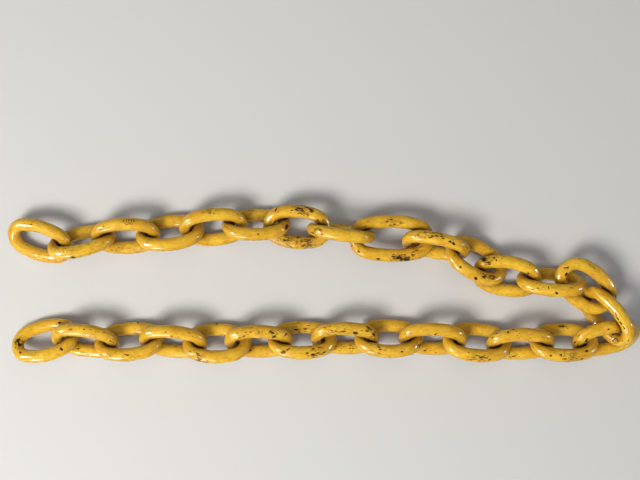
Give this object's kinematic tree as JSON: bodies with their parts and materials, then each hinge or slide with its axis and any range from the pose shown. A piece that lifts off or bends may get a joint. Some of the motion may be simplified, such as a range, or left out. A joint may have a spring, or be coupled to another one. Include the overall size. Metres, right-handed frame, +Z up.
{
  "type": "length of steel chain",
  "caption": "Length of yellow-painted steel chain laid doubled on the floor: two near-parallel runs of welded oval links, tilted left and right in turn, joined by a bend at one end.",
  "frame": {"origin": "on the floor, under the middle of the whole laid chain", "axes": "+X along the two runs, from the free ends to the bend; +Y across, from the run with the last free end to the run with the long link; +Z up"},
  "size_m": [0.3924, 0.097, 0.0293],
  "materials": {
    "yellow_paint": "thick glossy yellow paint with small dark chips and scuffs down to brown steel"
  },
  "bodies": {
    "root": {"link_01": "yellow_paint", "link_02": "yellow_paint", "link_03": "yellow_paint", "link_04": "yellow_paint", "link_05": "yellow_paint", "link_06": "yellow_paint", "link_07": "yellow_paint", "link_08": "yellow_paint", "long_link_09": "yellow_paint", "link_10": "yellow_paint", "link_11": "yellow_paint", "link_12": "yellow_paint", "link_13": "yellow_paint", "link_14": "yellow_paint", "link_15": "yellow_paint", "link_16": "yellow_paint", "link_17": "yellow_paint", "link_18": "yellow_paint", "link_19": "yellow_paint", "link_20": "yellow_paint", "link_21": "yellow_paint", "link_22": "yellow_paint", "link_23": "yellow_paint", "link_24": "yellow_paint", "link_25": "yellow_paint", "link_26": "yellow_paint", "link_27": "yellow_paint", "link_28": "yellow_paint", "link_29": "yellow_paint"}
  },
  "joints": []
}
